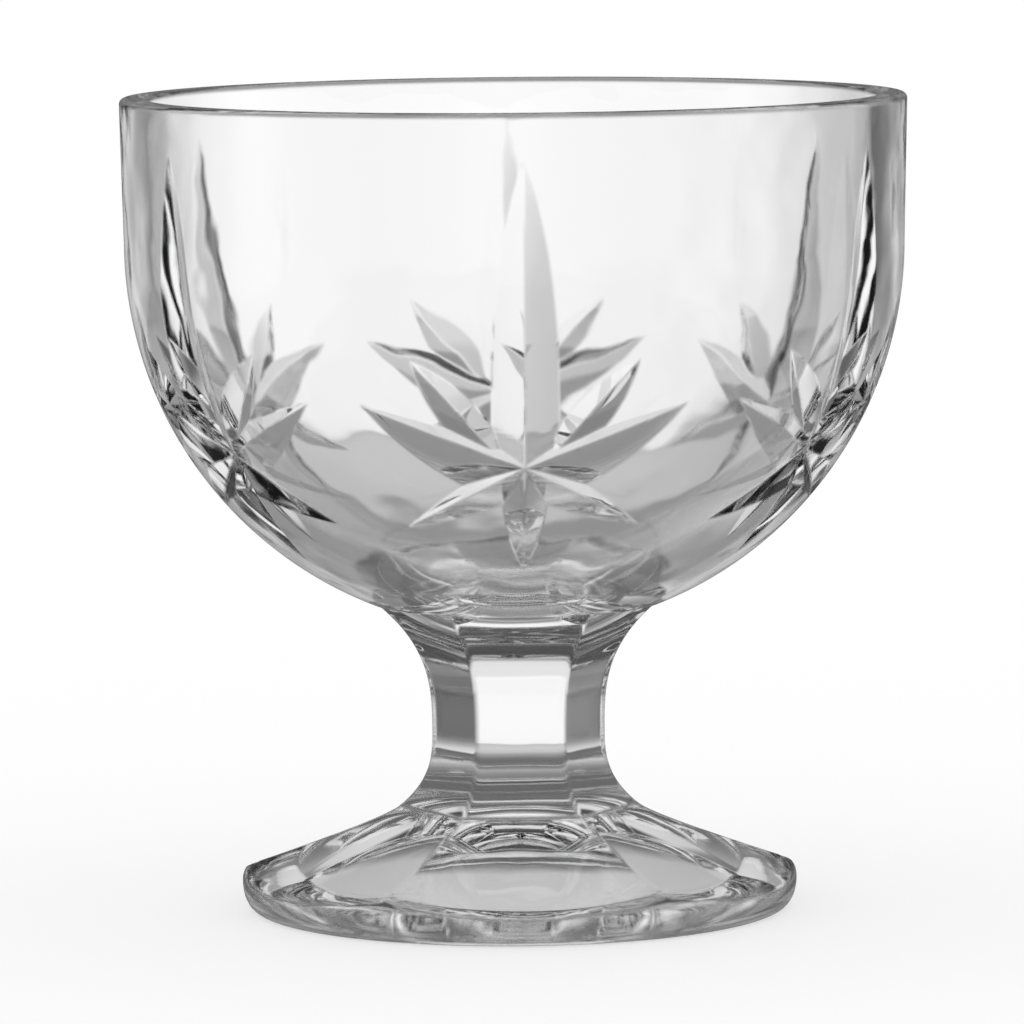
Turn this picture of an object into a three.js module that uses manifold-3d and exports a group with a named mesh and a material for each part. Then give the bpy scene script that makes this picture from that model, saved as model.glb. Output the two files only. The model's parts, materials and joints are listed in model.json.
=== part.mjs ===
import * as THREE from 'three';
import { mergeVertices } from 'three/addons/utils/BufferGeometryUtils.js';
import Module from 'manifold-3d';

// Footed dessert bowl in clear pressed glass. Millimetres, +Z up, origin under the foot.
// Three pieces fused on flat faces: the cup, a six-sided stem and a six-panelled foot.

// Cup
const rimDiameter = 100;
const height = 104;
const wall = 3.8;
const rimRounding = 0.7;
const cupDiameter = 99.2;
const floorThickness = 1.4;
const floorPower = 1.8;
const seatHeight = 39.3;
const seatDiameter = 37.1;

// Stem, measured over its rounded corners
const seatMargin = 0.3;
const waistDiameter = 22.1;
const waistHeight = 22.8;
const flarePower = 2.87;
const cornerRounding = 0.9;

// Foot
const crownHeight = 13;
const crownDiameter = 30.8;
const crownThickness = 4.6;
const bellBend = 1.65;
const footDiameter = 71;
const ridgeHeight = 5.4;
const edgeHeight = 3.5;
const edgeRounding = 2.2;
const ringWidth = 6.3;

// Pattern: stars of wedge cuts, each wedge running out from its star's centre
const starCount = 6;
const starDrop = 27.2;
const cutDepth = 1.6;
const spearDepth = 1.5;
const leafDepth = 1.1;
const rimClearance = 3.6;

// Faceting
const latheSegments = 78;
const hollowSegments = 60;
const sideSteps = 2;
const cornerSteps = 3;

// Derived sizes
const cupRadius = cupDiameter / 2;
const seatRadius = seatDiameter / 2;
const cupCentre = seatHeight + Math.sqrt(cupRadius ** 2 - seatRadius ** 2);
const bandHeight = height - rimRounding - cupCentre;
const flare = rimDiameter / 2 - cupRadius;
const waistCorner = waistDiameter / 2;
const seatCorner = seatRadius - seatMargin;
const crownCorner = crownDiameter / 2;
const footRadius = footDiameter / 2;
const ringRadius = footRadius - edgeRounding;
const hollowRadius = ringRadius - ringWidth;
const hollowHeight = crownHeight - crownThickness;

const glass = () => new THREE.MeshStandardMaterial({
  name: 'glass', color: 0xf4f7f6, roughness: 0.03, metalness: 0, transparent: true, opacity: 0.35,
});

// Solid modelling helpers
const wasm = await Module();
wasm.setup();

function toSolid(geometry) {
  const bare = geometry.clone();
  bare.deleteAttribute('normal');
  bare.deleteAttribute('uv');
  const merged = mergeVertices(bare, 1e-4);
  const index = merged.index.array;
  const faces = [];
  for (let i = 0; i < index.length; i += 3) {
    const [a, b, c] = index.slice(i, i + 3);
    if (a !== b && b !== c && c !== a) faces.push(a, b, c);
  }
  return new wasm.Manifold(new wasm.Mesh({
    numProp: 3,
    vertProperties: new Float32Array(merged.attributes.position.array),
    triVerts: new Uint32Array(faces),
  }));
}

function toMesh(name, solid) {
  const { numProp, vertProperties, triVerts } = solid.getMesh();
  const count = vertProperties.length / numProp;
  const position = new Float32Array(count * 3);
  for (let i = 0; i < count; i += 1) {
    position.set(vertProperties.subarray(i * numProp, i * numProp + 3), i * 3);
  }
  const geometry = new THREE.BufferGeometry();
  geometry.setAttribute('position', new THREE.BufferAttribute(position, 3));
  geometry.setIndex(new THREE.BufferAttribute(new Uint32Array(triVerts), 1));
  geometry.computeVertexNormals();
  const mesh = new THREE.Mesh(geometry, glass());
  mesh.name = name;
  return mesh;
}

// Turn a meridian about Z. Its points [radius, height] start and end on the axis and run from the
// bottom, round the outside, to the top.
function turned(meridian, segments = latheSegments) {
  const points = meridian.map(([r, z]) => new THREE.Vector2(r, z));
  const geometry = new THREE.LatheGeometry(points, segments);
  geometry.rotateX(Math.PI / 2);
  return toSolid(geometry);
}

// Skin a stack of rings of equal length and close both ends with a fan
function lofted(rings) {
  const count = rings[0].length;
  const points = rings.flat();
  const index = [];
  for (let i = 0; i + 1 < rings.length; i += 1) {
    for (let j = 0; j < count; j += 1) {
      const k = (j + 1) % count;
      const [a, b] = [i * count + j, i * count + k];
      const [c, d] = [(i + 1) * count + k, (i + 1) * count + j];
      index.push(a, b, c, a, c, d);
    }
  }
  const middle = (ring) => ring.reduce((sum, p) => sum.add(p), new THREE.Vector3()).divideScalar(count);
  const first = points.push(middle(rings[0])) - 1;
  const last = points.push(middle(rings[rings.length - 1])) - 1;
  const top = (rings.length - 1) * count;
  for (let j = 0; j < count; j += 1) {
    const k = (j + 1) % count;
    index.push(first, k, j, last, top + j, top + k);
  }
  const geometry = new THREE.BufferGeometry();
  geometry.setAttribute('position', new THREE.Float32BufferAttribute(points.flatMap((p) => p.toArray()), 3));
  geometry.setIndex(index);
  return toSolid(geometry);
}

// Points of an ellipse's arc, [across, up], from one angle to another
function arc([x, y], [width, rise], from, to, steps) {
  return Array.from({ length: steps + 1 }, (_, i) => {
    const angle = from + ((to - from) * i) / steps;
    return [x + width * Math.cos(angle), y + rise * Math.sin(angle)];
  });
}

// Cup: a half ball that runs into a slightly flared band. A place on its outside is measured
// along the meridian from the widest level of the ball.
function outside(along) {
  if (along < 0) {
    const angle = along / cupRadius;
    return { r: cupRadius * Math.cos(angle), z: cupCentre + cupRadius * Math.sin(angle), tilt: angle };
  }
  return { r: cupRadius + (flare * along) / bandHeight, z: cupCentre + along, tilt: -Math.atan2(flare, bandHeight) };
}

// Point over the cup's outside at an azimuth from the front, lifted along the surface's normal
function overCup(azimuth, along, lift) {
  const { r, z, tilt } = outside(along);
  const reach = r + lift * Math.cos(tilt);
  return new THREE.Vector3(reach * Math.sin(azimuth), -reach * Math.cos(azimuth), z + lift * Math.sin(tilt));
}

// Point [radius, height] of the cup's inside at an angle below the ball's widest level. The wall
// there thickens towards the pole, where the floor is left over the seat.
const poleThickness = seatHeight + floorThickness - (cupCentre - cupRadius);
function inside(below) {
  const reach = cupRadius - wall - (poleThickness - wall) * Math.sin(below) ** floorPower;
  return [reach * Math.cos(below), cupCentre - reach * Math.sin(below)];
}

const insideSteps = 14;
const mouthRadius = rimDiameter / 2 - wall;
const cup = turned([
  [0, seatHeight],
  ...arc([0, cupCentre], [cupRadius, cupRadius], -Math.acos(seatRadius / cupRadius), 0, 13),
  [cupRadius + flare / 2, cupCentre + bandHeight / 2],
  ...arc([rimDiameter / 2 - rimRounding, height - rimRounding], [rimRounding, rimRounding], 0, Math.PI / 2, 4),
  ...arc([mouthRadius + rimRounding, height - rimRounding], [rimRounding, rimRounding], Math.PI / 2, Math.PI, 4),
  ...Array.from({ length: insideSteps }, (_, i) => inside((i * Math.PI) / 2 / insideSteps)),
  [0, seatHeight + floorThickness],
]);

// Wedge cuts. A keel runs from one point of the star to another, two sides rise from it to the
// surface at their own widths, and the widths fade towards the tip, the depth by their taper.
const skin = 0.04;
const overrun = 1.4;
const headroom = 0.9;
const tipSize = 0.02;

function fade(t, { peak, start, power }) {
  if (t < peak) return 1 - (1 - start) * ((peak - t) / peak) ** 2;
  return Math.max(tipSize, 1 - ((t - peak) / (1 - peak)) ** power);
}

function wedge(azimuth, cut) {
  const keelLine = new THREE.Vector2(...cut.to).sub(new THREE.Vector2(...cut.from));
  const across = new THREE.Vector2(keelLine.y, -keelLine.x).normalize();
  const place = (spot, lift) => {
    const along = spot.y - starDrop;
    return overCup(azimuth + spot.x / outside(along).r, along, lift);
  };
  const rings = Array.from({ length: cut.steps + 1 }, (_, i) => {
    const t = i / cut.steps;
    const size = fade(t, cut);
    const spot = new THREE.Vector2(...cut.from).addScaledVector(keelLine, t);
    const keel = place(spot, skin - cut.depth * size ** cut.taper);
    const side = (width) => {
      const edge = place(spot.clone().addScaledVector(across, width * size), skin);
      return edge.sub(keel).multiplyScalar(overrun).add(keel);
    };
    return [place(spot, headroom), side(cut.right), keel, side(-cut.left)];
  });
  return lofted(rings);
}

// Cuts of one star, with ends [across, up] measured over the cup's outside from the star's centre
const leaf = { peak: 0, start: 1, power: 2, taper: 1, steps: 6 };
const spearTip = starDrop + bandHeight - rimClearance;
const spear = {
  from: [0, -0.6], to: [0, spearTip], right: 4.2, left: 4.2, depth: spearDepth,
  peak: 0.26, start: 1, power: 2.4, taper: 1.6, steps: 10,
};
const tail = { ...leaf, from: [0, 0.6], to: [0, -17.4], right: 3, left: 3, depth: cutDepth };
const pairs = [
  { ...leaf, from: [0, 0], to: [20.9, 10], below: 5, above: 2.7, depth: cutDepth },
  { ...leaf, from: [0, 0], to: [14.6, -8.7], below: 2.9, above: 3.2, depth: cutDepth },
  { ...leaf, from: [2, 0.7], to: [14.3, 15.9], below: 2.2, above: 2.7, depth: leafDepth, peak: 0.5, start: 0.3 },
];
const rightHand = ({ below, above, ...cut }) => ({ ...cut, right: below, left: above });
const leftHand = ({ below, above, from, to, ...cut }) => ({
  ...cut, from: [-from[0], from[1]], to: [-to[0], to[1]], right: above, left: below,
});
const star = [spear, tail, ...pairs.map(rightHand), ...pairs.map(leftHand)];

let bowl = cup;
for (let i = 0; i < starCount; i += 1) {
  const azimuth = (i * 2 * Math.PI) / starCount;
  for (const cut of star) bowl = bowl.subtract(wedge(azimuth, cut));
}

// Stem and foot: rings of a six-sided section with rounded corners, a flat side to the front
function sixSided(corner, z) {
  const hub = corner - cornerRounding;
  const ring = [];
  for (let i = 0; i < 6; i += 1) {
    const azimuth = ((i + 0.5) * Math.PI) / 3 - Math.PI / 2;
    const centre = [hub * Math.cos(azimuth), hub * Math.sin(azimuth)];
    const turn = Math.PI / 6;
    ring.push(...arc(centre, [cornerRounding, cornerRounding], azimuth - turn, azimuth + turn, cornerSteps));
    const next = azimuth + Math.PI / 3;
    const end = ring[ring.length - 1];
    const begin = [hub * Math.cos(next) + cornerRounding * Math.cos(next - turn),
      hub * Math.sin(next) + cornerRounding * Math.sin(next - turn)];
    for (let k = 1; k < sideSteps; k += 1) {
      ring.push(end.map((value, axis) => value + ((begin[axis] - value) * k) / sideSteps));
    }
  }
  return ring.map(([x, y]) => new THREE.Vector3(x, y, z));
}

// The stem's corner leaves the waist slowly and flares out to the seat and to the crown
function stemCorner(z) {
  const [end, reach] = z > waistHeight ? [seatHeight, seatCorner] : [crownHeight, crownCorner];
  return waistCorner + (reach - waistCorner) * ((z - waistHeight) / (end - waistHeight)) ** flarePower;
}

const stemSteps = 16;
const stem = lofted(Array.from({ length: stemSteps + 1 }, (_, i) => {
  const z = crownHeight + ((seatHeight - crownHeight) * i) / stemSteps;
  return sixSided(stemCorner(z), z);
}));

// Foot: the bell's ridges carry on the stem's flare, then fall straight to the edge and on past it.
// The bell is held inside a round disc with a rounded edge, and is hollow beneath.
const crownSlope = (flarePower * (crownCorner - waistCorner)) / (waistHeight - crownHeight);
const ridge = new THREE.QuadraticBezierCurve(
  new THREE.Vector2(crownCorner, crownHeight),
  new THREE.Vector2(crownCorner + crownSlope * bellBend, crownHeight - bellBend),
  new THREE.Vector2(footRadius, ridgeHeight),
);
const ridgeEnd = ridge.getTangent(1);
const apron = ridgeHeight + 1;
const skirt = new THREE.Vector2(footRadius, ridgeHeight).addScaledVector(ridgeEnd, -apron / ridgeEnd.y);
const bell = lofted([skirt, ...ridge.getPoints(8).reverse()].map(({ x, y }) => sixSided(x, y)));

const topRounding = 2;
const disc = turned([
  [0, 0],
  ...arc([ringRadius, edgeHeight], [edgeRounding, edgeHeight], -Math.PI / 2, 0, 6),
  ...arc([footRadius - topRounding, edgeHeight + 0.4], [topRounding, topRounding], 0, Math.PI * 0.42, 4),
  [footRadius - topRounding, crownHeight + topRounding],
  [0, crownHeight + topRounding],
]);

const ballRadius = (hollowRadius ** 2 + hollowHeight ** 2) / (2 * hollowHeight);
const ballTurn = Math.asin(hollowRadius / ballRadius);
const hollow = turned([
  [0, -1],
  [hollowRadius, -1],
  ...arc([0, hollowHeight - ballRadius], [ballRadius, ballRadius], Math.PI / 2 - ballTurn, Math.PI / 2, 8).slice(0, -1),
  [0, hollowHeight],
], hollowSegments);
const foot = bell.intersect(disc).subtract(hollow);

const group = new THREE.Group();
group.name = 'footed_dessert_bowl';
group.add(toMesh('bowl', bowl), toMesh('stem', stem), toMesh('foot', foot));

export default group;
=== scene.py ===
"""Looks of a footed dessert bowl in clear pressed glass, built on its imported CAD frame."""

import json
import logging
from dataclasses import dataclass, field, replace
from enum import Enum

import bpy
import numpy as np
from mathutils import Matrix, Vector

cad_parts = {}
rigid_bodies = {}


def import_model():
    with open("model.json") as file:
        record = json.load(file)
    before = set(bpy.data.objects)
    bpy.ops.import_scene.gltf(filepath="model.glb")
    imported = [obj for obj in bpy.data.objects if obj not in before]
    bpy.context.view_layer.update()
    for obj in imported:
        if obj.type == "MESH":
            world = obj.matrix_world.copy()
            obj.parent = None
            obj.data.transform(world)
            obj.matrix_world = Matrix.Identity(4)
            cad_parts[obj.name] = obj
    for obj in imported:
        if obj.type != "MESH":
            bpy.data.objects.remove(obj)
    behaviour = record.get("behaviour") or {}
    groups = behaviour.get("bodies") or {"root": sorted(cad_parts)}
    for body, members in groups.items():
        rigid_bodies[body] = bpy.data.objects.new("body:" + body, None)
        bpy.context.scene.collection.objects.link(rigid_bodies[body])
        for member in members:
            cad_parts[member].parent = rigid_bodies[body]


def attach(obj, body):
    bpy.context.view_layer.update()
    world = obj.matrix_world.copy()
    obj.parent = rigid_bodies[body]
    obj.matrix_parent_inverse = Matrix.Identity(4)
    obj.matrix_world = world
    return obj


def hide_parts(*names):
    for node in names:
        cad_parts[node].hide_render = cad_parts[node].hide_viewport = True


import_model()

MM = 0.001
TINY = 1e-9
LOG = logging.getLogger("dessert_bowl")


class Slot(Enum):
    """Material slots of a glass piece, in the order in which its mesh holds them."""

    GLASS = 0
    JOINT = 1


Materials = dict[Slot, bpy.types.Material]


class Node(Enum):
    """CAD nodes that the visual pieces stand for."""

    BOWL = "bowl"
    STEM = "stem"
    FOOT = "foot"


def closed_bands(rows: int, columns: int) -> np.ndarray:
    """Quads of a grid that closes on itself along its columns.

    Args:
        rows: Number of rings.
        columns: Number of points on each ring, counted anticlockwise from above.

    Returns:
        Vertex numbers, one row of four for each quad, facing out where later rings lie above.
    """
    ring = np.arange(columns)
    after = np.roll(ring, -1)
    base = np.arange(rows - 1)[:, None] * columns
    corners = (base + ring, base + after, base + columns + after, base + columns + ring)
    return np.stack(corners, axis=-1).reshape(-1, 4)


def fan(ring_start: int, columns: int, pole: int, upwards: bool) -> np.ndarray:
    """Triangles from one ring of a grid to a pole.

    Args:
        ring_start: Number of the ring's first vertex.
        columns: Number of points on the ring.
        pole: Number of the vertex at the pole.
        upwards: Whether the fan faces up rather than down.

    Returns:
        Vertex numbers, one row of three for each triangle.
    """
    ring = ring_start + np.arange(columns)
    after = np.roll(ring, -1)
    first, second = (ring, after) if upwards else (after, ring)
    return np.stack((first, second, np.full(columns, pole)), axis=-1)


def new_object(
    name: str,
    points: np.ndarray,
    faces: list[np.ndarray],
    hidden: bool = False,
) -> bpy.types.Object:
    """Put arrays of points and faces into a mesh object at the origin.

    Args:
        name: Name of the object and its mesh.
        points: Vertex positions in metres, one row each.
        faces: Arrays of vertex numbers, each array with its own number of corners.
        hidden: Whether the object is only a cutter and stays out of the scene's view.

    Returns:
        The new object, linked to the scene unless it is hidden.
    """
    mesh = bpy.data.meshes.new(name)
    polygons = [face for block in faces for face in block.tolist()]
    mesh.from_pydata(points.reshape(-1, 3).tolist(), [], polygons)
    mesh.update()
    thing = bpy.data.objects.new(name, mesh)
    if not hidden:
        bpy.context.scene.collection.objects.link(thing)
    return thing


def dress(thing: bpy.types.Object, joints: slice, materials: Materials) -> None:
    """Put glass on a piece and the fused finish on the faces where it meets its neighbours.

    Args:
        thing: The piece.
        joints: Which of its faces are fused.
        materials: Material for each slot.
    """
    for slot in Slot:
        thing.data.materials.append(materials[slot])
    slots = np.zeros(len(thing.data.polygons), np.int32)
    slots[joints] = Slot.JOINT.value
    thing.data.polygons.foreach_set("material_index", slots)


def shade(thing: bpy.types.Object, sharp_degrees: float) -> None:
    """Shade a piece smoothly, with an edge kept sharp where its faces meet at more than an angle."""
    mesh = thing.data
    mesh.polygons.foreach_set("use_smooth", np.ones(len(mesh.polygons), bool))
    mesh.set_sharp_from_angle(angle=np.radians(sharp_degrees))


Value = bpy.types.NodeSocket | float
Stops = tuple[tuple[float, float], ...]


def maths(
    tree: bpy.types.NodeTree,
    operation: str,
    first: Value,
    second: Value = 0.0,
) -> bpy.types.NodeSocket:
    """Add a Math node to a tree.

    Args:
        tree: The node tree.
        operation: Name of the operation.
        first: First value, a socket or a number.
        second: Second value, a socket or a number.

    Returns:
        The node's result.
    """
    node = tree.nodes.new("ShaderNodeMath")
    node.operation = operation
    for socket, value in zip(node.inputs, (first, second)):
        if isinstance(value, bpy.types.NodeSocket):
            tree.links.new(value, socket)
        else:
            socket.default_value = value
    return node.outputs["Value"]


def smooth_step(
    tree: bpy.types.NodeTree,
    value: bpy.types.NodeSocket,
    span: tuple[float, float],
    result: tuple[float, float],
) -> bpy.types.NodeSocket:
    """Add a Map Range node that eases from one result to another over a span of values.

    Args:
        tree: The node tree.
        value: The value to map.
        span: Values at which the change starts and ends.
        result: Results at those values.

    Returns:
        The node's result.
    """
    node = tree.nodes.new("ShaderNodeMapRange")
    node.interpolation_type = "SMOOTHSTEP"
    tree.links.new(value, node.inputs["Value"])
    node.inputs["From Min"].default_value, node.inputs["From Max"].default_value = span
    node.inputs["To Min"].default_value, node.inputs["To Max"].default_value = result
    return node.outputs["Result"]


def graded(
    tree: bpy.types.NodeTree,
    value: bpy.types.NodeSocket,
    stops: Stops,
) -> bpy.types.NodeSocket:
    """Add a grey ramp through a row of stops.

    Args:
        tree: The node tree.
        value: The value to grade, from 0 up to the last stop's.
        stops: Pairs of a value and its grey, rising from 0.

    Returns:
        The grey at the value.
    """
    span = stops[-1][0]
    node = tree.nodes.new("ShaderNodeValToRGB")
    elements = node.color_ramp.elements
    elements.remove(elements[-1])
    for number, (position, grey) in enumerate(stops):
        stop = elements.new(position / span) if number else elements[0]
        stop.color = (grey, grey, grey, 1.0)
    tree.links.new(maths(tree, "DIVIDE", value, span), node.inputs["Fac"])
    return node.outputs["Color"]


@dataclass(frozen=True)
class PressedGlass:
    """Clear soda-lime glass from a mould, with soft fire-polished edges and pressing's faint ripple."""

    tint: tuple[float, float, float] = (1.0, 1.0, 1.0)
    index: float = 1.52
    ripple_spacing: float = 11.0 * MM
    ripple_height: float = 0.17 * MM
    ripple_detail: float = 1.5
    ripple_roughness: float = 0.4
    edge_softness: float = 0.6 * MM
    edge_samples: int = 4

    def material(self, name: str) -> bpy.types.Material:
        """Make the node material.

        Args:
            name: Name of the material.

        Returns:
            A transmitting material whose edges are softened over a small radius, and whose bump is
            a low, wide noise on Object coordinates.
        """
        material = bpy.data.materials.new(name)
        material.use_nodes = True
        tree = material.node_tree
        shader = tree.nodes["Principled BSDF"]
        shader.inputs["Base Color"].default_value = (*self.tint, 1.0)
        shader.inputs["Roughness"].default_value = 0.0
        shader.inputs["IOR"].default_value = self.index
        shader.inputs["Transmission Weight"].default_value = 1.0
        place = tree.nodes.new("ShaderNodeTexCoord")
        ripple = tree.nodes.new("ShaderNodeTexNoise")
        ripple.inputs["Scale"].default_value = 1.0 / self.ripple_spacing
        ripple.inputs["Detail"].default_value = self.ripple_detail
        ripple.inputs["Roughness"].default_value = self.ripple_roughness
        edge = tree.nodes.new("ShaderNodeBevel")
        edge.samples = self.edge_samples
        edge.inputs["Radius"].default_value = self.edge_softness
        bump = tree.nodes.new("ShaderNodeBump")
        bump.inputs["Strength"].default_value = 1.0
        bump.inputs["Distance"].default_value = self.ripple_height
        tree.links.new(place.outputs["Object"], ripple.inputs["Vector"])
        tree.links.new(ripple.outputs["Fac"], bump.inputs["Height"])
        tree.links.new(edge.outputs["Normal"], bump.inputs["Normal"])
        tree.links.new(bump.outputs["Normal"], shader.inputs["Normal"])
        return material


@dataclass(frozen=True)
class FusedJoint:
    """Face where two pieces have melted together: no surface is left, so light runs straight on."""

    def material(self, name: str) -> bpy.types.Material:
        """Make a material that shows nothing of the face it is on."""
        material = bpy.data.materials.new(name)
        material.use_nodes = True
        shader = material.node_tree.nodes["Principled BSDF"]
        shader.inputs["Alpha"].default_value = 0.0
        shader.inputs["Specular IOR Level"].default_value = 0.0
        return material


@dataclass
class SixSides:
    """Section of the stem and foot: a hexagon with rounded corners and a flat side to the front."""

    rounding: float = 0.9 * MM
    corner_steps: int = 12
    side_steps: int = 16

    def ring(self, corner: np.ndarray) -> np.ndarray:
        """Points round the section for a whole stack of rings at once.

        Each corner is an arc of the rounding radius about a hub on the corner's ray, and each side
        is the straight line between the ends of two arcs.

        Args:
            corner: Distance from the axis to the rounded corner, for each ring.

        Returns:
            Array of ring by point by (x, y), anticlockwise from above.
        """
        hub = (corner - self.rounding)[:, None, None]
        azimuth = (np.arange(6) + 0.5) * np.pi / 3 - np.pi / 2
        turn = np.linspace(-np.pi / 6, np.pi / 6, self.corner_steps)
        angle = azimuth[:, None] + turn
        bend = np.stack(
            (
                hub * np.cos(azimuth)[:, None] + self.rounding * np.cos(angle),
                hub * np.sin(azimuth)[:, None] + self.rounding * np.sin(angle),
            ),
            axis=-1,
        )
        begin = bend[:, :, -1:, :]
        end = np.roll(bend, -1, axis=1)[:, :, :1, :]
        share = (np.arange(1, self.side_steps) / self.side_steps)[:, None]
        side = begin + (end - begin) * share
        section = np.concatenate((bend, side), axis=2)
        return section.reshape(len(corner), -1, 2)

    def reach(self, azimuth: np.ndarray, corner: float) -> np.ndarray:
        """Distance from the axis to the section's outline along each azimuth.

        Args:
            azimuth: Angles about Z in radians.
            corner: Distance from the axis to the rounded corner.

        Returns:
            The distance to the straight side, or to the corner's arc where that is nearer.
        """
        hub = corner - self.rounding
        from_side = (azimuth + np.pi / 2 + np.pi / 6) % (np.pi / 3) - np.pi / 6
        flat = (hub * np.cos(np.pi / 6) + self.rounding) / np.cos(from_side)
        from_corner = np.pi / 6 - np.abs(from_side)
        span = np.maximum(self.rounding**2 - (hub * np.sin(from_corner)) ** 2, 0.0)
        bend = hub * np.cos(from_corner) + np.sqrt(span)
        edge = np.arctan2(hub * 0.5, hub * np.cos(np.pi / 6) + self.rounding)
        return np.where(np.abs(from_side) > edge, bend, flat)


@dataclass
class WedgeCut:
    """One mitre cut of a star: a keel between two points and a side up to the surface each way."""

    start: tuple[float, float]
    end: tuple[float, float]
    right: float
    left: float
    depth: float
    peak: float = 0.0
    opening: float = 1.0
    power: float = 2.0
    depth_power: float = 1.0
    steps: int = 24
    tip_share: float = 0.012

    def mirrored(self) -> "WedgeCut":
        """The same cut on the other side of the star."""
        start = (-self.start[0], self.start[1])
        end = (-self.end[0], self.end[1])
        return replace(self, start=start, end=end, right=self.left, left=self.right)

    def fade(self) -> np.ndarray:
        """Share of the full depth and width at each step: it grows to the peak, then fades to the tip."""
        t = np.linspace(0.0, 1.0, self.steps + 1)
        rise = 1.0 - (1.0 - self.opening) * ((self.peak - t) / max(self.peak, TINY)) ** 2
        fall = 1.0 - (np.clip(t - self.peak, 0.0, None) / (1.0 - self.peak)) ** self.power
        return np.where(t < self.peak, rise, np.maximum(fall, self.tip_share))


@dataclass
class Cup:
    """The cup: a half ball under a slightly flared band, with stars of wedge cuts in its outside."""

    rim_radius: float = 50.0 * MM
    height: float = 104.0 * MM
    wall: float = 3.8 * MM
    rim_rounding: float = 0.7 * MM
    radius: float = 49.6 * MM
    floor: float = 1.4 * MM
    floor_power: float = 1.8
    seat_height: float = 39.3 * MM
    seat_radius: float = 18.55 * MM
    star_count: int = 6
    star_drop: float = 27.2 * MM
    cut_depth: float = 1.6 * MM
    spear_depth: float = 1.5 * MM
    leaf_depth: float = 1.1 * MM
    rim_clearance: float = 3.6 * MM
    columns: int = 216
    ball_rows: int = 64
    band_rows: int = 14
    rim_rows: int = 16
    inside_rows: int = 72
    sharp_degrees: float = 8.0
    skin: float = 0.04 * MM
    headroom: float = 0.9 * MM
    overrun: float = 1.4
    seat_share: float = 0.9
    uncut_degrees: float = 2.5
    tolerance: float = 0.001 * MM

    @property
    def centre(self) -> float:
        """Height of the ball's widest level."""
        return self.seat_height + float(np.sqrt(self.radius**2 - self.seat_radius**2))

    @property
    def band(self) -> float:
        """Height of the flared band, up to where the rim's rounding starts."""
        return self.height - self.rim_rounding - self.centre

    def outside(self, along: np.ndarray) -> tuple[np.ndarray, np.ndarray, np.ndarray]:
        """Outside of the cup along its meridian.

        Below the widest level the meridian is a circle's arc, and above it a straight line that
        leans out by the flare.

        Args:
            along: Distance along the meridian from the widest level, upwards.

        Returns:
            Radius, height and tilt of the normal above the horizontal.
        """
        flare = self.rim_radius - self.radius
        angle = np.minimum(along, 0.0) / self.radius
        above = np.maximum(along, 0.0)
        r = self.radius * np.cos(angle) + flare * above / self.band
        z = self.centre + self.radius * np.sin(angle) + above
        tilt = np.where(along < 0.0, angle, -np.arctan2(flare, self.band))
        return r, z, tilt

    def over(self, azimuth: np.ndarray, along: np.ndarray, lift: np.ndarray) -> np.ndarray:
        """Points lifted off the outside along its normal.

        Args:
            azimuth: Angle from the front, to the right.
            along: Distance along the meridian from the widest level.
            lift: Distance out from the surface.

        Returns:
            Positions, with x, y and z on the last axis.
        """
        r, z, tilt = self.outside(along)
        reach = r + lift * np.cos(tilt)
        x = reach * np.sin(azimuth)
        y = -reach * np.cos(azimuth)
        return np.stack((x, y, z + lift * np.sin(tilt)), axis=-1)

    def meridian(self) -> np.ndarray:
        """Profile from the seat's edge, up the outside, over the rim and down the inside.

        Returns:
            Points of radius and height, without the two poles.
        """
        low = -np.arccos(self.seat_radius / self.radius)
        ball = np.linspace(low, 0.0, self.ball_rows) * self.radius
        band = np.linspace(0.0, self.band, self.band_rows)[1:-1]
        r, z, _ = self.outside(np.concatenate((ball, band)))
        rounding = self.rim_rounding
        quarter = np.linspace(0.0, np.pi / 2, self.rim_rows)
        turn = np.concatenate((quarter, quarter + np.pi / 2))
        edges = (self.rim_radius - rounding, self.rim_radius - self.wall + rounding)
        rim_r = np.repeat(edges, self.rim_rows) + rounding * np.cos(turn)
        rim_z = self.height - rounding + rounding * np.sin(turn)
        below = np.linspace(0.0, np.pi / 2, self.inside_rows)[:-1]
        base = self.seat_height + self.floor - self.centre + self.radius
        thick = self.wall + (base - self.wall) * np.sin(below) ** self.floor_power
        inside_r = (self.radius - thick) * np.cos(below)
        inside_z = self.centre - (self.radius - thick) * np.sin(below)
        profile_r = np.concatenate((r, rim_r, inside_r))
        profile_z = np.concatenate((z, rim_z, inside_z))
        return np.stack((profile_r, profile_z), axis=-1)

    def blank(self, joint: SixSides, joint_corner: float, materials: Materials) -> bpy.types.Object:
        """The cup before it is cut: the meridian turned about Z, with a fused face in its seat.

        Args:
            joint: Section of the stem that the seat meets.
            joint_corner: Corner radius of that section at the seat.
            materials: Material for each slot.

        Returns:
            A closed mesh object whose fused face has the joint's slot.
        """
        azimuth = np.arange(self.columns) * 2 * np.pi / self.columns
        profile = self.meridian()
        seam = joint.reach(azimuth, joint_corner)
        r = np.concatenate((seam[None, :], np.repeat(profile[:, :1], self.columns, axis=1)))
        z = np.concatenate(([self.seat_height], profile[:, 1]))[:, None] * np.ones(self.columns)
        rings = np.stack((r * np.cos(azimuth), r * np.sin(azimuth), z), axis=-1).reshape(-1, 3)
        poles = np.array([[0.0, 0.0, self.seat_height], [0.0, 0.0, self.seat_height + self.floor]])
        rows = len(profile) + 1
        count = rows * self.columns
        faces = [
            closed_bands(rows, self.columns),
            fan(0, self.columns, count, upwards=False),
            fan(count - self.columns, self.columns, count + 1, upwards=True),
        ]
        thing = new_object("cut_glass_cup", np.concatenate((rings, poles)), faces)
        dress(thing, slice(len(faces[0]), len(faces[0]) + self.columns), materials)
        return thing

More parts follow.
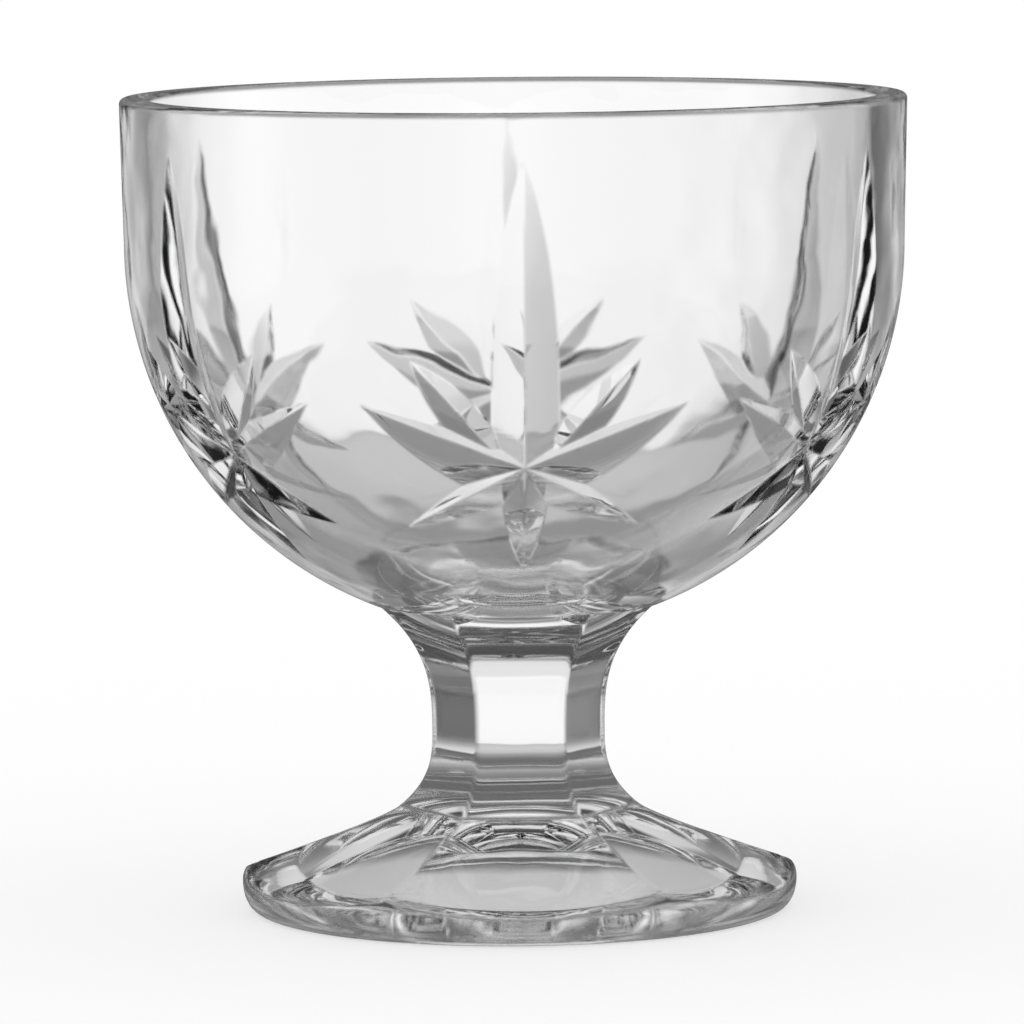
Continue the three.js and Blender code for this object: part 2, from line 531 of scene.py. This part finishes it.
    def cuts(self) -> list[WedgeCut]:
        """The cuts of one star, in metres from its centre across and up the cup's outside."""
        tip = self.star_drop + self.band - self.rim_clearance
        deep = self.cut_depth
        spear = WedgeCut(
            (0.0, -0.6 * MM),
            (0.0, tip),
            4.2 * MM,
            4.2 * MM,
            self.spear_depth,
            peak=0.26,
            power=2.4,
            depth_power=1.6,
            steps=40,
        )
        tail = WedgeCut((0.0, 0.6 * MM), (0.0, -17.4 * MM), 3.0 * MM, 3.0 * MM, deep)
        steep_leaf = WedgeCut(
            (2.0 * MM, 0.7 * MM),
            (14.3 * MM, 15.9 * MM),
            2.2 * MM,
            2.7 * MM,
            self.leaf_depth,
            peak=0.5,
            opening=0.3,
        )
        pairs = [
            WedgeCut((0.0, 0.0), (20.9 * MM, 10.0 * MM), 5.0 * MM, 2.7 * MM, deep),
            WedgeCut((0.0, 0.0), (14.6 * MM, -8.7 * MM), 2.9 * MM, 3.2 * MM, deep),
            steep_leaf,
        ]
        return [spear, tail, *pairs, *(cut.mirrored() for cut in pairs)]

    def cutter(self, name: str, azimuth: float, cut: WedgeCut) -> bpy.types.Object:
        """Solid that takes one wedge out of the cup.

        Its section is a kite: a point above the surface, a point past each edge on the side's own
        slope, and the keel below. The sections follow the keel, and their size follows the fade.

        Args:
            name: Name of the cutter.
            azimuth: Azimuth of the star's centre.
            cut: The cut to make.

        Returns:
            A closed mesh object that isn't linked to the scene.
        """
        size = cut.fade()
        t = np.linspace(0.0, 1.0, cut.steps + 1)[:, None]
        start, end = np.array(cut.start), np.array(cut.end)
        spot = start + (end - start) * t
        across = np.array([end[1] - start[1], start[0] - end[0]]) / np.hypot(*(end - start))

        def place(where: np.ndarray, lift: np.ndarray | float) -> np.ndarray:
            """Position over the cup of a point given across and up from the star's centre."""
            along = where[:, 1] - self.star_drop
            radius, _, _ = self.outside(along)
            return self.over(azimuth + where[:, 0] / radius, along, lift * np.ones(len(where)))

        keel = place(spot, self.skin - cut.depth * size**cut.depth_power)
        right = place(spot + across * (cut.right * size)[:, None], self.skin)
        left = place(spot - across * (cut.left * size)[:, None], self.skin)
        rings = np.stack(
            (
                place(spot, self.headroom),
                keel + (right - keel) * self.overrun,
                keel,
                keel + (left - keel) * self.overrun,
            ),
            axis=1,
        )
        ends = np.stack((rings[0].mean(axis=0), rings[-1].mean(axis=0)))
        count = rings.shape[0] * 4
        faces = [
            closed_bands(rings.shape[0], 4),
            fan(0, 4, count, upwards=False),
            fan(count - 4, 4, count + 1, upwards=True),
        ]
        return new_object(name, np.concatenate((rings.reshape(-1, 3), ends)), faces, hidden=True)

    def carve(self, thing: bpy.types.Object) -> None:
        """Take every wedge of every star out of the blank, and remove the cutters.

        Args:
            thing: The blank, which keeps its name and gets the cut mesh.
        """
        cutters = bpy.data.collections.new("wedge_cutters")
        bpy.context.scene.collection.children.link(cutters)
        for star in range(self.star_count):
            azimuth = star * 2 * np.pi / self.star_count
            for number, cut in enumerate(self.cuts()):
                cutters.objects.link(self.cutter(f"wedge_{star}_{number}", azimuth, cut))
        modifier = thing.modifiers.new("wedges", "BOOLEAN")
        modifier.operation = "DIFFERENCE"
        modifier.operand_type = "COLLECTION"
        modifier.collection = cutters
        modifier.solver = "MANIFOLD"
        graph = bpy.context.evaluated_depsgraph_get()
        cut_mesh = bpy.data.meshes.new_from_object(thing.evaluated_get(graph))
        thing.modifiers.clear()
        thing.data = cut_mesh
        for tool in list(cutters.objects):
            mesh = tool.data
            bpy.data.objects.remove(tool)
            bpy.data.meshes.remove(mesh)
        bpy.data.collections.remove(cutters)

    def polish(self, thing: bpy.types.Object) -> None:
        """Shade the cut cup, with the true normals of the turned shape wherever its outside is uncut.

        Args:
            thing: The cut cup.
        """
        shade(thing, self.sharp_degrees)
        mesh = thing.data
        loops = len(mesh.loops)
        corner = np.empty(loops, np.int32)
        mesh.loops.foreach_get("vertex_index", corner)
        points = np.empty(len(mesh.vertices) * 3)
        mesh.vertices.foreach_get("co", points)
        points = points.reshape(-1, 3)[corner]
        normals = np.empty(loops * 3)
        mesh.corner_normals.foreach_get("vector", normals)
        normals = normals.reshape(-1, 3)
        facing = np.empty(len(mesh.polygons) * 3)
        mesh.polygons.foreach_get("normal", facing)
        total = np.empty(len(mesh.polygons), np.int32)
        mesh.polygons.foreach_get("loop_total", total)
        facing = np.repeat(facing.reshape(-1, 3), total, axis=0)
        below = np.minimum(points[:, 2] - self.centre, 0.0)
        out = np.stack((points[:, 0], points[:, 1], below), axis=-1)
        flare = (self.rim_radius - self.radius) / self.band
        radius = np.hypot(points[:, 0], points[:, 1])
        out[:, 2] = np.where(points[:, 2] > self.centre, -flare * radius, out[:, 2])
        out /= np.linalg.norm(out, axis=1)[:, None]
        top = self.height - self.wall / 2 + self.tolerance
        outer = (radius > self.seat_radius * self.seat_share) & (points[:, 2] < top)
        uncut = outer & (np.sum(out * facing, axis=1) > np.cos(np.radians(self.uncut_degrees)))
        normals[uncut] = out[uncut]
        mesh.normals_split_custom_set(normals.tolist())

    def build(self, joint: SixSides, joint_corner: float, materials: Materials) -> bpy.types.Object:
        """Make the finished cup.

        Args:
            joint: Section of the stem under the cup.
            joint_corner: Corner radius of that section at the seat.
            materials: Material for each slot.

        Returns:
            The cup's object.
        """
        thing = self.blank(joint, joint_corner, materials)
        self.carve(thing)
        self.polish(thing)
        return thing


@dataclass
class Stem:
    """The solid stem: a six-sided section that flares from its waist to the seat and to the crown."""

    sides: SixSides = field(default_factory=SixSides)
    seat_height: float = 39.3 * MM
    seat_corner: float = 18.25 * MM
    waist_height: float = 22.8 * MM
    waist_corner: float = 11.05 * MM
    crown_height: float = 13.0 * MM
    crown_corner: float = 15.4 * MM
    power: float = 2.87
    rows: int = 110
    sharp_degrees: float = 40.0

    def corner(self, z: np.ndarray) -> np.ndarray:
        """Corner radius at each height: the waist's, and a power of the distance from the waist."""
        up = np.clip((z - self.waist_height) / (self.seat_height - self.waist_height), 0.0, None)
        down = np.clip((self.waist_height - z) / (self.waist_height - self.crown_height), 0.0, None)
        return (
            self.waist_corner
            + (self.seat_corner - self.waist_corner) * up**self.power
            + (self.crown_corner - self.waist_corner) * down**self.power
        )

    def build(self, materials: Materials) -> bpy.types.Object:
        """Make the stem, with a fused face at each end.

        Args:
            materials: Material for each slot.

        Returns:
            The stem's object.
        """
        z = np.linspace(self.crown_height, self.seat_height, self.rows)
        section = self.sides.ring(self.corner(z))
        columns = section.shape[1]
        heights = np.repeat(z[:, None, None], columns, axis=1)
        rings = np.concatenate((section, heights), axis=-1).reshape(-1, 3)
        poles = np.array([[0.0, 0.0, self.crown_height], [0.0, 0.0, self.seat_height]])
        count = len(rings)
        faces = [
            closed_bands(self.rows, columns),
            fan(0, columns, count, upwards=False),
            fan(count - columns, columns, count + 1, upwards=True),
        ]
        thing = new_object("six_sided_stem", np.concatenate((rings, poles)), faces)
        dress(thing, slice(len(faces[0]), None), materials)
        shade(thing, self.sharp_degrees)
        return thing


@dataclass
class Foot:
    """The foot: a six-panelled bell inside a round disc with a rounded edge, hollow beneath."""

    stem: Stem
    radius: float = 35.5 * MM
    ridge_height: float = 5.4 * MM
    bell_bend: float = 1.65 * MM
    edge_height: float = 3.5 * MM
    edge_rounding: float = 2.2 * MM
    top_rounding: float = 2.0 * MM
    ring_width: float = 6.3 * MM
    crown_thickness: float = 4.6 * MM
    edge_band: float = 0.4 * MM
    blend: float = 0.35 * MM
    bell_steps: int = 400
    row_ease: float = 0.35
    rows: int = 150
    hollow_rows: int = 40
    sharp_degrees: float = 50.0

    def ridge(self, z: np.ndarray) -> np.ndarray:
        """Corner radius of the bell at each height.

        It is a quadratic curve from the crown, leaving it with the stem's own slope, to the ridge's
        end at the foot's edge, and its last tangent below that.

        Args:
            z: Heights in metres, rising.

        Returns:
            Corner radii in metres.
        """
        stem = self.stem
        flare = stem.crown_corner - stem.waist_corner
        slope = stem.power * flare / (stem.waist_height - stem.crown_height)
        t = np.linspace(0.0, 1.0, self.bell_steps)
        first = np.array([stem.crown_corner, stem.crown_height])
        bend = first + np.array([slope * self.bell_bend, -self.bell_bend])
        last = np.array([self.radius, self.ridge_height])
        curve = (
            first * ((1 - t) ** 2)[:, None] + bend * (2 * t * (1 - t))[:, None] + last * (t**2)[:, None]
        )[::-1]
        run = (last[0] - bend[0]) / (bend[1] - last[1])
        inside = np.interp(z, curve[:, 1], curve[:, 0])
        return np.where(z < self.ridge_height, last[0] + run * (self.ridge_height - z), inside)

    def disc(self, z: np.ndarray) -> np.ndarray:
        """Radius of the round disc at each height.

        It is an ellipse's quarter below the widest level, upright over a narrow band, and an arc above.

        Args:
            z: Heights in metres.

        Returns:
            Radii in metres.
        """
        low = np.clip((self.edge_height - z) / self.edge_height, 0.0, 1.0)
        below = self.radius - self.edge_rounding * (1 - np.sqrt(1 - low**2))
        start = self.edge_height + self.edge_band
        high = np.clip((z - start) / self.top_rounding, 0.0, 1.0)
        return below - self.top_rounding * (1 - np.sqrt(1 - high**2))

    def build(self, materials: Materials) -> bpy.types.Object:
        """Make the foot: the smaller of bell and disc, softly blended, over a ring and a shallow dome.

        Args:
            materials: Material for each slot.

        Returns:
            The foot's object.
        """
        crown = self.stem.crown_height
        share = np.linspace(0.0, 1.0, self.rows)
        z = crown * ((1 - self.row_ease) * share + self.row_ease * share**2)
        section = self.stem.sides.ring(self.ridge(z))
        columns = section.shape[1]
        reach = np.hypot(section[..., 0], section[..., 1])
        disc = np.repeat(self.disc(z)[:, None], columns, axis=1)
        near = np.maximum(self.blend - np.abs(reach - disc), 0.0) / self.blend
        held = np.minimum(reach, disc) - near**2 * self.blend / 4
        held[-1] = reach[-1]
        heights = np.repeat(z[:, None, None], columns, axis=1)
        outer = np.concatenate((section * (held / reach)[..., None], heights), axis=-1)
        azimuth = np.arctan2(section[0, :, 1], section[0, :, 0])
        hollow_radius = self.radius - self.edge_rounding - self.ring_width
        hollow_height = crown - self.crown_thickness
        ball = (hollow_radius**2 + hollow_height**2) / (2 * hollow_height)
        angle = np.linspace(0.0, np.arcsin(hollow_radius / ball), self.hollow_rows + 1)[1:]
        dome_r = (ball * np.sin(angle))[:, None]
        dome_z = hollow_height - ball + ball * np.cos(angle)
        dome_z[-1] = 0.0
        dome = np.stack(
            (
                dome_r * np.cos(azimuth),
                dome_r * np.sin(azimuth),
                np.repeat(dome_z[:, None], columns, axis=1),
            ),
            axis=-1,
        )
        rings = np.concatenate((dome, outer)).reshape(-1, 3)
        poles = np.array([[0.0, 0.0, hollow_height], [0.0, 0.0, crown]])
        rows = len(dome) + len(outer)
        count = rows * columns
        faces = [
            closed_bands(rows, columns),
            fan(0, columns, count, upwards=False),
            fan(count - columns, columns, count + 1, upwards=True),
        ]
        thing = new_object("panelled_foot", np.concatenate((rings, poles)), faces)
        dress(thing, slice(-columns, None), materials)
        shade(thing, self.sharp_degrees)
        return thing


@dataclass
class Studio:
    """White sweep, a backdrop lit from behind on each of four sides, and the camera.

    The eye sees white all round. A reflection shows one plain dark tone, as a dark room in front of a
    bright field does. Light that comes through glass shows how the studio is graded: from each
    backdrop's bright middle out to grey, from its lit foot up to a dark ceiling, and down over the
    sweep to a painted shade that lies under and behind the object. Angles are in degrees.
    """

    sweep_size: float = 6.0
    sweep_gap: float = 0.05 * MM
    sweep_glow: float = 0.6
    # Painted shadow on the sweep, seen only through glass: its radius round the line along y, its soft
    # edge, how far back it reaches, and its greys by distance back from the front of the foot.
    painted_shadow_radius: float = 36.5 * MM
    painted_shadow_edge: float = 2.0 * MM
    painted_shadow_reach: float = 48.0 * MM
    painted_shadow_tones: Stops = (
        (0.0, 0.62),
        (36.5 * MM, 0.58),
        (42.5 * MM, 0.42),
        (48.5 * MM, 0.28),
        (56.5 * MM, 0.19),
        (65.0 * MM, 0.13),
        (73.0 * MM, 0.12),
        (85.0 * MM, 0.14),
        (97.0 * MM, 0.2),
        (109.0 * MM, 0.34),
        (121.0 * MM, 0.6),
    )
    pattern_turn: float = -3.5
    middle_tones: Stops = (
        (0.0, 0.12),
        (0.03, 0.14),
        (0.1, 0.22),
        (0.25, 0.34),
        (0.4, 0.45),
        (0.6, 0.58),
        (0.75, 0.66),
        (0.82, 0.76),
        (0.88, 0.88),
        (0.93, 0.98),
        (1.0, 1.0),
    )
    upper_tones: Stops = ((0.0, 0.18), (0.1, 0.28), (0.3, 0.72), (1.0, 0.82))
    shaded_tones: Stops = (
        (0.0, 1.0),
        (0.16, 1.0),
        (0.18, 0.96),
        (0.185, 0.45),
        (0.192, 0.6),
        (0.21, 0.62),
        (0.262, 0.57),
        (0.268, 0.3),
        (0.36, 0.28),
        (0.42, 0.27),
        (0.5, 0.3),
        (0.8, 0.34),
        (1.0, 0.7),
    )
    open_tones: Stops = ((0.0, 1.0), (0.15, 1.0), (0.3, 0.82), (0.6, 0.78), (1.0, 0.7))
    shaded_side: tuple[float, float] = (0.6, 0.85)
    rear_side: tuple[float, float] = (-0.4, 0.4)
    front_corners: float = 0.5
    middle_top: tuple[float, float] = (0.17, 0.3)
    upper_foot: tuple[float, float] = (0.0, 0.09)
    down_spread: tuple[float, float] = (0.14, 0.34)
    ceiling: tuple[float, float] = (0.42, 0.58)
    ceiling_tone: float = 0.05
    reflection_tone: float = 0.16
    camera_distance: float = 0.96
    camera_height: float = 149.5 * MM
    camera_azimuth: float = -1.46
    pitch: float = 5.876
    yaw: float = 0.035
    roll: float = -0.5
    lens: float = 265.7
    sensor: float = 36.0
    view_depth: float = 20.0
    glass_bounces: int = 32
    mirror_bounces: int = 12
    clear_bounces: int = 24

    def through_glass(self, tree: bpy.types.NodeTree) -> bpy.types.NodeSocket:
        """1 for light that reaches the eye through glass, and 0 for all other light."""
        return tree.nodes.new("ShaderNodeLightPath").outputs["Is Transmission Ray"]

    def off_glass(self, tree: bpy.types.NodeTree) -> bpy.types.NodeSocket:
        """1 for light that glass reflects to the eye, and 0 for all other light."""
        path = tree.nodes.new("ShaderNodeLightPath").outputs
        return maths(tree, "SUBTRACT", path["Is Glossy Ray"], path["Is Transmission Ray"])

    def sweep(self) -> None:
        """Lay the sweep: white with the object's shadow to the eye.

        To light through glass it shows a painted shadow under the object and some way behind it, as
        far as a given distance from the line along y, and open beyond that, where the world carries on.
        """
        half = self.sweep_size / 2
        low = -self.sweep_gap
        corners = np.array(
            [
                [-half, -half, low],
                [half, -half, low],
                [half, half, low],
                [-half, half, low],
            ]
        )
        thing = new_object("floor", corners, [np.array([[0, 1, 2, 3]])])
        material = bpy.data.materials.new("white_sweep")
        material.use_nodes = True
        material.cycles.emission_sampling = "NONE"
        tree = material.node_tree
        sheet = tree.nodes["Principled BSDF"]
        sheet.inputs["Base Color"].default_value = (1.0 - self.sweep_glow,) * 3 + (1.0,)
        sheet.inputs["Roughness"].default_value = 1.0
        sheet.inputs["Specular IOR Level"].default_value = 0.0
        sheet.inputs["Emission Color"].default_value = (1.0, 1.0, 1.0, 1.0)
        sheet.inputs["Emission Strength"].default_value = self.sweep_glow
        place = tree.nodes.new("ShaderNodeTexCoord")
        parts = tree.nodes.new("ShaderNodeSeparateXYZ")
        tree.links.new(place.outputs["Object"], parts.inputs[0])
        x, y = parts.outputs["X"], parts.outputs["Y"]
        nearest = maths(tree, "MINIMUM", maths(tree, "MAXIMUM", y, 0.0), self.painted_shadow_reach)
        past = maths(tree, "SUBTRACT", y, nearest)
        squares = maths(tree, "ADD", maths(tree, "MULTIPLY", x, x), maths(tree, "MULTIPLY", past, past))
        away = maths(tree, "SQRT", squares)
        # Painted shadow: a grey emission seen only through glass, darkest a little behind the foot and
        # lighter again further back.
        back = graded(tree, maths(tree, "ADD", y, self.painted_shadow_radius), self.painted_shadow_tones)
        painted_shadow = tree.nodes.new("ShaderNodeEmission")
        tree.links.new(back, painted_shadow.inputs["Strength"])
        opening = tree.nodes.new("ShaderNodeBsdfTransparent")
        under = tree.nodes.new("ShaderNodeMixShader")
        edge = (self.painted_shadow_radius, self.painted_shadow_radius + self.painted_shadow_edge)
        tree.links.new(smooth_step(tree, away, edge, (0.0, 1.0)), under.inputs["Fac"])
        tree.links.new(painted_shadow.outputs["Emission"], under.inputs[1])
        tree.links.new(opening.outputs["BSDF"], under.inputs[2])
        mirrored = tree.nodes.new("ShaderNodeEmission")
        mirrored.inputs["Strength"].default_value = self.reflection_tone
        shown = tree.nodes.new("ShaderNodeMixShader")
        tree.links.new(self.off_glass(tree), shown.inputs["Fac"])
        tree.links.new(sheet.outputs["BSDF"], shown.inputs[1])
        tree.links.new(mirrored.outputs["Emission"], shown.inputs[2])
        mix = tree.nodes.new("ShaderNodeMixShader")
        tree.links.new(self.through_glass(tree), mix.inputs["Fac"])
        tree.links.new(shown.outputs["Shader"], mix.inputs[1])
        tree.links.new(under.outputs["Shader"], mix.inputs[2])
        tree.links.new(mix.outputs["Shader"], tree.nodes["Material Output"].inputs["Surface"])
        thing.data.materials.append(material)

    def bearings(
        self,
        tree: bpy.types.NodeTree,
        towards: bpy.types.NodeSocket,
    ) -> tuple[bpy.types.NodeSocket, bpy.types.NodeSocket]:
        """Where a direction points among the four backdrops.

        Args:
            tree: Node tree to add to.
            towards: Direction, whose x and y are turned onto the backdrops first.

        Returns:
            How squarely it faces the nearest backdrop, as the square of (y2 - x2) / (x2 + y2), which
            is 1 at a backdrop's middle and 0 half-way between two. Then how far it points behind the
            object, as y |y| / (x2 + y2), which is 1 straight behind and -1 straight in front.
        """
        turned = tree.nodes.new("ShaderNodeVectorRotate")
        turned.rotation_type = "Z_AXIS"
        turned.inputs["Angle"].default_value = np.radians(self.pattern_turn)
        tree.links.new(towards, turned.inputs["Vector"])
        parts = tree.nodes.new("ShaderNodeSeparateXYZ")
        tree.links.new(turned.outputs["Vector"], parts.inputs[0])
        x, y = parts.outputs["X"], parts.outputs["Y"]
        x2 = maths(tree, "MULTIPLY", x, x)
        y2 = maths(tree, "MULTIPLY", y, y)
        both = maths(tree, "ADD", y2, x2)
        turn = maths(tree, "DIVIDE", maths(tree, "SUBTRACT", y2, x2), both)
        behind = maths(tree, "DIVIDE", maths(tree, "MULTIPLY", y, maths(tree, "ABSOLUTE", y)), both)
        return maths(tree, "MULTIPLY", turn, turn), behind

    def world(self) -> None:
        """Light the scene evenly from all round, and grade the studio where glass shows it."""
        world = bpy.data.worlds.new("studio")
        bpy.context.scene.world = world
        world.use_nodes = True
        tree = world.node_tree
        place = tree.nodes.new("ShaderNodeTexCoord")
        parts = tree.nodes.new("ShaderNodeSeparateXYZ")
        tree.links.new(place.outputs["Generated"], parts.inputs[0])
        up = parts.outputs["Z"]
        down = maths(tree, "MAXIMUM", maths(tree, "MULTIPLY", up, -1.0), 0.0)
        facing, behind = self.bearings(tree, place.outputs["Generated"])
        corner = maths(tree, "SUBTRACT", 1.0, graded(tree, facing, self.middle_tones))
        rear = smooth_step(tree, behind, self.rear_side, (self.front_corners, 1.0))
        spread = smooth_step(tree, down, self.down_spread, (1.0, 0.0))
        dark = maths(tree, "MULTIPLY", spread, maths(tree, "MULTIPLY", corner, rear))
        kept = maths(tree, "SUBTRACT", 1.0, dark)
        # Painted shade: through glass the table shows darker behind the object, with sharp steps in it.
        clear = graded(tree, down, self.open_tones)
        shaded = maths(tree, "SUBTRACT", clear, graded(tree, down, self.shaded_tones))
        share = smooth_step(tree, behind, self.shaded_side, (0.0, 1.0))
        table = maths(tree, "SUBTRACT", clear, maths(tree, "MULTIPLY", share, shaded))
        sweep = maths(tree, "MULTIPLY", kept, table)
        middle = maths(tree, "MULTIPLY", sweep, smooth_step(tree, up, self.middle_top, (1.0, 0.0)))
        lit = smooth_step(tree, up, self.upper_foot, (0.0, 1.0))
        upper = maths(tree, "MULTIPLY", graded(tree, facing, self.upper_tones), lit)
        wall = maths(tree, "MAXIMUM", middle, upper)
        above = smooth_step(tree, up, self.ceiling, (0.0, 1.0))
        fall = maths(tree, "MULTIPLY", above, maths(tree, "SUBTRACT", wall, self.ceiling_tone))
        seen = maths(tree, "SUBTRACT", wall, fall)
        dimmed = maths(tree, "MULTIPLY", self.through_glass(tree), maths(tree, "SUBTRACT", 1.0, seen))
        mirrored = maths(tree, "MULTIPLY", self.off_glass(tree), 1.0 - self.reflection_tone)
        background = tree.nodes["Background"]
        background.inputs["Color"].default_value = (1.0, 1.0, 1.0, 1.0)
        shown = maths(tree, "SUBTRACT", maths(tree, "SUBTRACT", 1.0, dimmed), mirrored)
        tree.links.new(shown, background.inputs["Strength"])

    def camera(self) -> None:
        """Set the camera up at the photograph's viewing angle."""
        data = bpy.data.cameras.new("camera")
        data.lens = self.lens
        data.sensor_width = self.sensor
        data.clip_end = self.view_depth
        thing = bpy.data.objects.new("camera", data)
        bpy.context.scene.collection.objects.link(thing)
        azimuth = np.radians(self.camera_azimuth)
        place = Vector(
            (
                self.camera_distance * np.sin(azimuth),
                -self.camera_distance * np.cos(azimuth),
                self.camera_height,
            )
        )
        turn = (
            Matrix.Rotation(azimuth + np.radians(self.yaw), 4, "Z")
            @ Matrix.Rotation(np.pi / 2 - np.radians(self.pitch), 4, "X")
            @ Matrix.Rotation(np.radians(self.roll), 4, "Z")
        )
        thing.matrix_world = Matrix.Translation(place) @ turn
        bpy.context.scene.camera = thing

    def build(self) -> None:
        """Set up sweep, light and camera, and let light pass through many faces of glass."""
        self.sweep()
        self.world()
        self.camera()
        scene = bpy.context.scene
        scene.view_settings.view_transform = "Standard"
        scene.cycles.max_bounces = self.glass_bounces
        scene.cycles.transmission_bounces = self.glass_bounces
        scene.cycles.glossy_bounces = self.mirror_bounces
        scene.cycles.transparent_max_bounces = self.clear_bounces


def seat_in_frame(thing: bpy.types.Object, node: Node) -> None:
    """Put a piece in its body, and hide the CAD node that it stands for.

    Args:
        thing: The piece.
        node: The CAD node that it replaces.
    """
    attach(thing, "root")
    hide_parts(node.value)
    LOG.info("%s stands for %s: %d faces", thing.name, node.value, len(thing.data.polygons))


def main() -> None:
    """Build the pieces and the studio."""
    logging.basicConfig(level=logging.INFO, format="%(name)s: %(message)s")
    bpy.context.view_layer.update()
    materials = {
        Slot.GLASS: PressedGlass().material("pressed_glass"),
        Slot.JOINT: FusedJoint().material("fused_joint"),
    }
    stem = Stem()
    cup = Cup()
    foot = Foot(stem)
    seat_in_frame(cup.build(stem.sides, stem.seat_corner, materials), Node.BOWL)
    seat_in_frame(stem.build(materials), Node.STEM)
    seat_in_frame(foot.build(materials), Node.FOOT)
    Studio().build()


if __name__ == "__main__":
    main()
